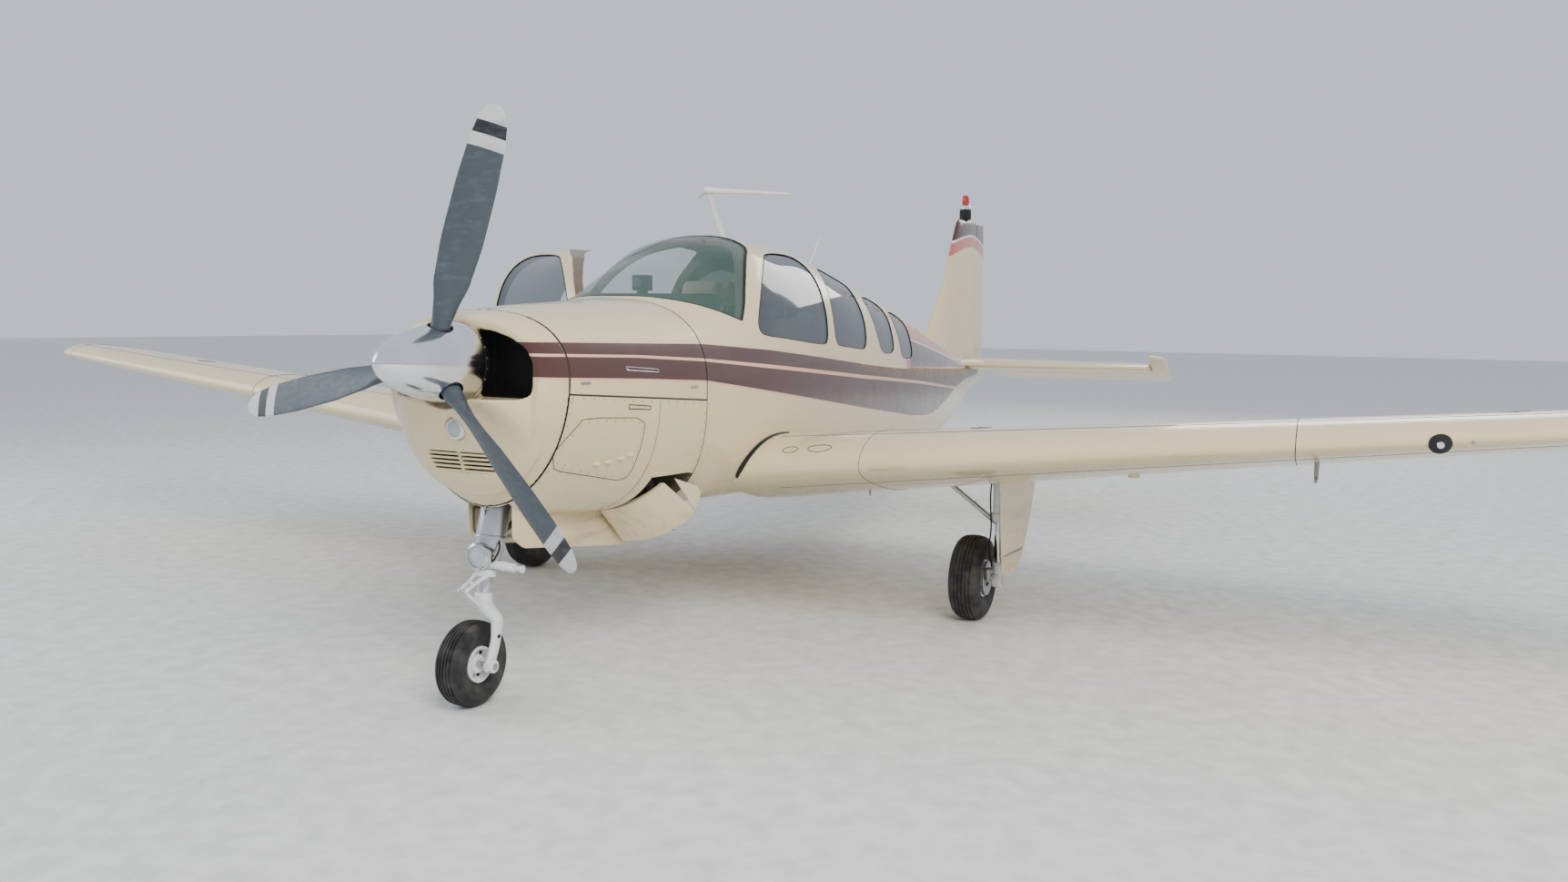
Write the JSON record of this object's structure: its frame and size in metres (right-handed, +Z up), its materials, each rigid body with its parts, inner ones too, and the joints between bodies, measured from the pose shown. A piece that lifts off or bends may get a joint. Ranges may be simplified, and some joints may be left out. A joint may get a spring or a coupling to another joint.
{
  "type": "light aircraft",
  "caption": "Low-wing single-engine light aircraft on retractable tricycle gear, with its cabin door standing open, utility doors behind it and movable control surfaces.",
  "frame": {"origin": "centre of the bounding box on the ground, below the middle of the aircraft", "axes": "+X towards the left wing tip, +Y towards the tail, +Z up; the nose points along -Y"},
  "size_m": [10.21, 8.3079, 2.7823],
  "materials": {
    "paint": "gloss",
    "metal": "polished",
    "steel": "satin",
    "blade": "satin",
    "iron": "matte",
    "white": "gloss",
    "tyre": "matte",
    "glass": "polished",
    "leather": "satin",
    "trim": "matte",
    "lamp": "gloss"
  },
  "bodies": {
    "airframe": {"nose_bowl": "paint", "lower_cowl": "paint", "left_cowl_flap": "paint", "right_cowl_flap": "paint", "engine_block": "iron", "cabin_shell": "paint", "windshield": "glass", "left_window_1": "glass", "left_window_2": "glass", "left_window_3": "glass", "left_window_4": "glass", "right_window_2": "glass", "instrument_panel": "trim", "front_left_seat": "leather", "front_right_seat": "leather", "middle_seats": "leather", "rear_seats": "leather", "tail_cone": "paint", "left_stabilizer": "paint", "right_stabilizer": "paint", "fin": "paint", "tail_beacon": "lamp", "left_wing": "paint", "right_wing": "paint", "nose_leg": "steel", "left_nose_door": "paint", "right_nose_door": "paint", "left_main_leg": "steel", "right_main_leg": "steel", "left_gear_door": "paint", "right_gear_door": "paint", "nav_antenna": "white", "whip_antenna": "white"},
    "propeller": {"spinner": "metal", "blade_1": "blade", "blade_2": "blade", "blade_3": "blade"},
    "nose_steering": {"nose_fork": "white"},
    "nose_roller": {"nose_wheel": "white", "nose_tyre": "tyre"},
    "left_roller": {"left_main_wheel": "white", "left_main_tyre": "tyre"},
    "right_roller": {"right_main_wheel": "white", "right_main_tyre": "tyre"},
    "cabin_entry": {"cabin_door": "paint", "cabin_door_window": "glass"},
    "utility_front": {"utility_door_front": "paint", "utility_door_front_window": "glass"},
    "utility_rear": {"utility_door_rear": "paint", "utility_door_rear_window": "glass"},
    "left_cowl": {"left_cowl_door": "paint"},
    "right_cowl": {"right_cowl_door": "paint"},
    "elevators": {"left_elevator": "paint", "right_elevator": "paint"},
    "rudder_body": {"rudder": "paint"},
    "left_aileron_body": {"left_aileron": "paint"},
    "right_aileron_body": {"right_aileron": "paint"},
    "left_flap_body": {"left_flap": "paint"},
    "right_flap_body": {"right_flap": "paint"}
  },
  "joints": [
    {"name": "propeller_spin", "type": "hinge", "parent": "airframe", "child": "propeller", "pos_m": [0, -3.856, 1.437], "axis": [0, 0.9997, -0.0251], "continuous": true},
    {"name": "nose_steer", "type": "hinge", "parent": "airframe", "child": "nose_steering", "pos_m": [0, -3.594, 0.29], "axis": [0, 0.193, 0.9812], "range_deg": [-20, 20]},
    {"name": "nose_wheel_spin", "type": "hinge", "parent": "nose_steering", "child": "nose_roller", "pos_m": [0, -3.644, 0.1795], "axis": [1, 0, 0], "continuous": true},
    {"name": "left_wheel_spin", "type": "hinge", "parent": "airframe", "child": "left_roller", "pos_m": [1.47, -1.25, 0.231], "axis": [1, 0, 0], "continuous": true},
    {"name": "right_wheel_spin", "type": "hinge", "parent": "airframe", "child": "right_roller", "pos_m": [-1.47, -1.25, 0.231], "axis": [1, 0, 0], "continuous": true},
    {"name": "cabin_door_swing", "type": "hinge", "parent": "airframe", "child": "cabin_entry", "pos_m": [-0.58582, -2.111, 1.3], "axis": [0, 0, 1], "range_deg": [-65, 15]},
    {"name": "utility_front_swing", "type": "hinge", "parent": "airframe", "child": "utility_front", "pos_m": [-0.55755, -0.354, 1.225], "axis": [0, 0, 1], "range_deg": [0, 85]},
    {"name": "utility_rear_swing", "type": "hinge", "parent": "airframe", "child": "utility_rear", "pos_m": [-0.46445, 0.854, 1.17], "axis": [0, 0, -1], "range_deg": [0, 85]},
    {"name": "left_cowl_lift", "type": "hinge", "parent": "airframe", "child": "left_cowl", "pos_m": [0.023, -3.076, 1.67963], "axis": [0, -0.9975, -0.0713], "range_deg": [0, 80]},
    {"name": "right_cowl_lift", "type": "hinge", "parent": "airframe", "child": "right_cowl", "pos_m": [-0.023, -3.076, 1.67963], "axis": [0, 0.9975, 0.0713], "range_deg": [0, 80]},
    {"name": "elevator_swing", "type": "hinge", "parent": "airframe", "child": "elevators", "pos_m": [0, 3.664, 1.222], "axis": [1, 0, 0], "range_deg": [0, 45]},
    {"name": "rudder_swing", "type": "hinge", "parent": "airframe", "child": "rudder_body", "pos_m": [0, 3.709, 1.87], "axis": [0, 0.0507, 0.9987], "range_deg": [-25, 25]},
    {"name": "left_aileron_swing", "type": "hinge", "parent": "airframe", "child": "left_aileron_body", "pos_m": [3.717, -0.95132, 1.0847], "axis": [0.9857, -0.1138, 0.1243], "range_deg": [-20, 20]},
    {"name": "right_aileron_swing", "type": "hinge", "parent": "airframe", "child": "right_aileron_body", "pos_m": [-3.717, -0.95132, 1.0847], "axis": [0.9857, 0.1138, -0.1243], "range_deg": [-20, 20]},
    {"name": "left_flap_swing", "type": "hinge", "parent": "airframe", "child": "left_flap_body", "pos_m": [1.584, -0.74183, 0.81553], "axis": [-0.9857, 0.1087, -0.1286], "range_deg": [0, 30]},
    {"name": "right_flap_swing", "type": "hinge", "parent": "airframe", "child": "right_flap_body", "pos_m": [-1.584, -0.74183, 0.81553], "axis": [-0.9857, -0.1087, 0.1286], "range_deg": [0, 30]}
  ],
  "couplings": [
    {"joint": "right_aileron_swing", "follows": "left_aileron_swing", "ratio": -1},
    {"joint": "right_flap_swing", "follows": "left_flap_swing", "ratio": 1}
  ]
}
